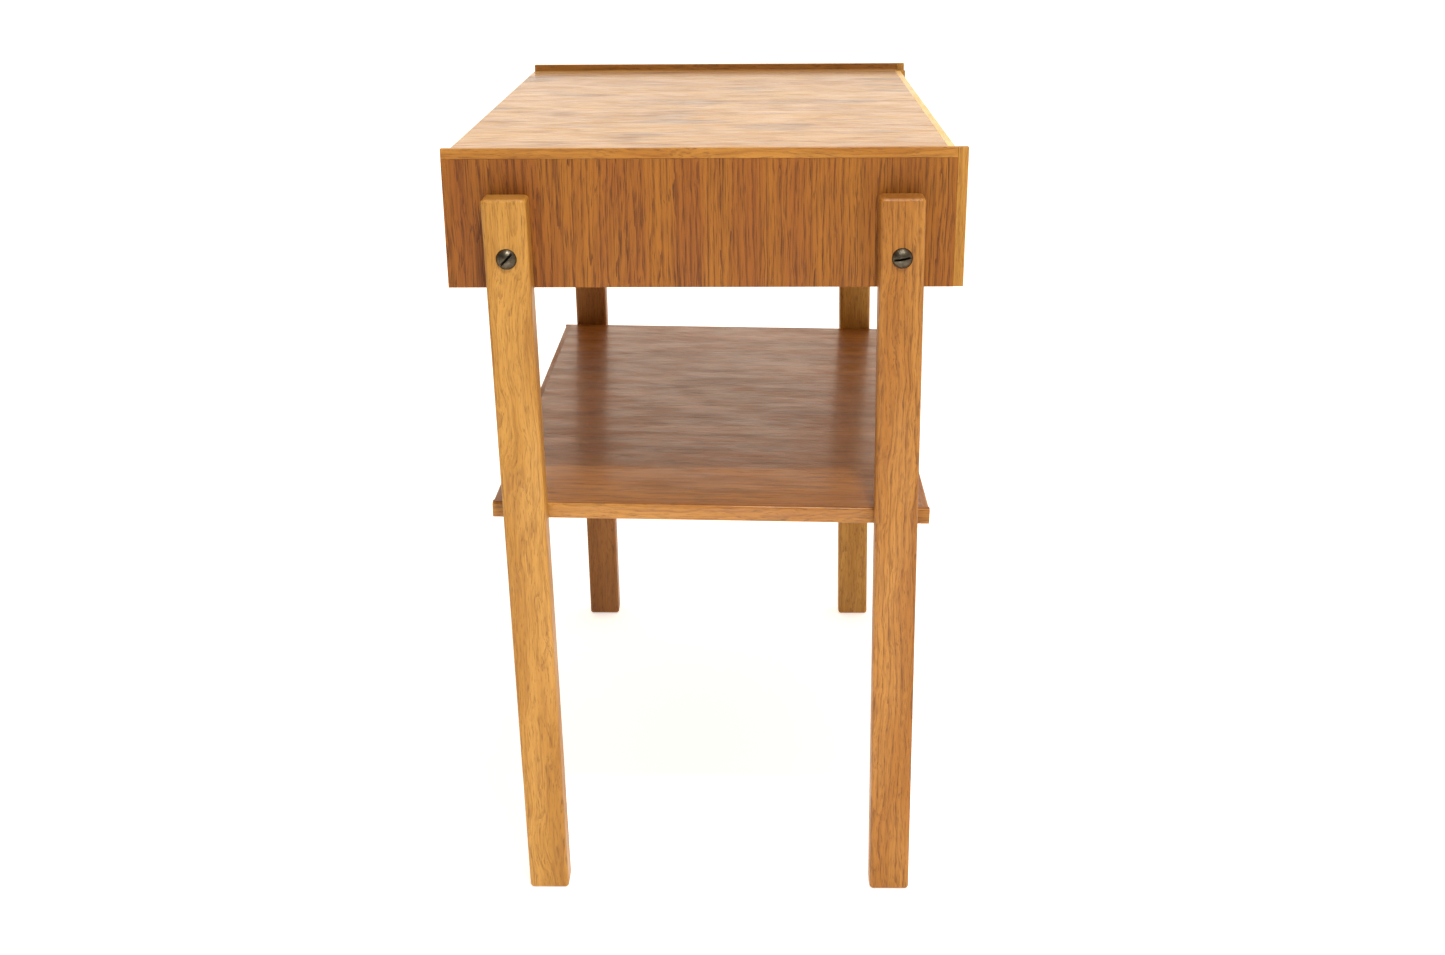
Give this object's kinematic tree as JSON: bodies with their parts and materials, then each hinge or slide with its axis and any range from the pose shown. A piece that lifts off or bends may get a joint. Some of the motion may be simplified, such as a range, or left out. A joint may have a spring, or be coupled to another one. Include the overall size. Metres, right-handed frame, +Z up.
{
  "type": "side table",
  "caption": "Oak side table: a shallow case with a drawer hangs between legs bolted to its lipped sides, with a low shelf dowelled between the legs.",
  "frame": {"origin": "on the floor, at the centre of the table's width and of its depth over the drawer pull", "axes": "+Z is up, the drawer opens towards -Y, and X runs along the table's width"},
  "size_m": [0.5538, 0.3634, 0.5685],
  "materials": {
    "oak_veneer": "semi-gloss clear lacquer over oak veneer",
    "solid_oak": "semi-gloss clear lacquer over solid oak",
    "beech": "bare planed beech",
    "plywood": "bare sanded plywood",
    "blackened_steel": "turned and blackened",
    "brass": "dull turned brass"
  },
  "bodies": {
    "table": {"side_panel_left": "oak_veneer", "side_panel_right": "oak_veneer", "side_top_lipping_left": "solid_oak", "side_top_lipping_right": "solid_oak", "side_front_lipping_left": "solid_oak", "side_front_lipping_right": "solid_oak", "top_board": "oak_veneer", "top_front_lipping": "solid_oak", "back_board": "oak_veneer", "bottom_board": "plywood", "top_dowels": "beech", "back_dowels": "beech", "leg_left_back": "solid_oak", "leg_left_front": "solid_oak", "leg_right_back": "solid_oak", "leg_right_front": "solid_oak", "leg_bolts": "blackened_steel", "leg_inserts": "brass", "shelf_board": "oak_veneer", "shelf_end_lipping_left": "solid_oak", "shelf_end_lipping_right": "solid_oak", "shelf_front_lipping": "solid_oak", "shelf_back_lipping": "solid_oak", "shelf_dowels": "beech", "runner_left": "beech", "runner_right": "beech", "runner_screws": "brass"},
    "drawer": {"drawer_front": "oak_veneer", "drawer_side_left": "beech", "drawer_side_right": "beech", "drawer_back": "beech", "drawer_bottom": "plywood", "drawer_bottom_screws": "brass", "drawer_pull": "solid_oak", "pull_screws": "brass"}
  },
  "joints": [
    {"name": "drawer_slide", "type": "slide", "parent": "table", "child": "drawer", "axis": [0, -1, 0], "range_m": [0, 0.23]}
  ]
}
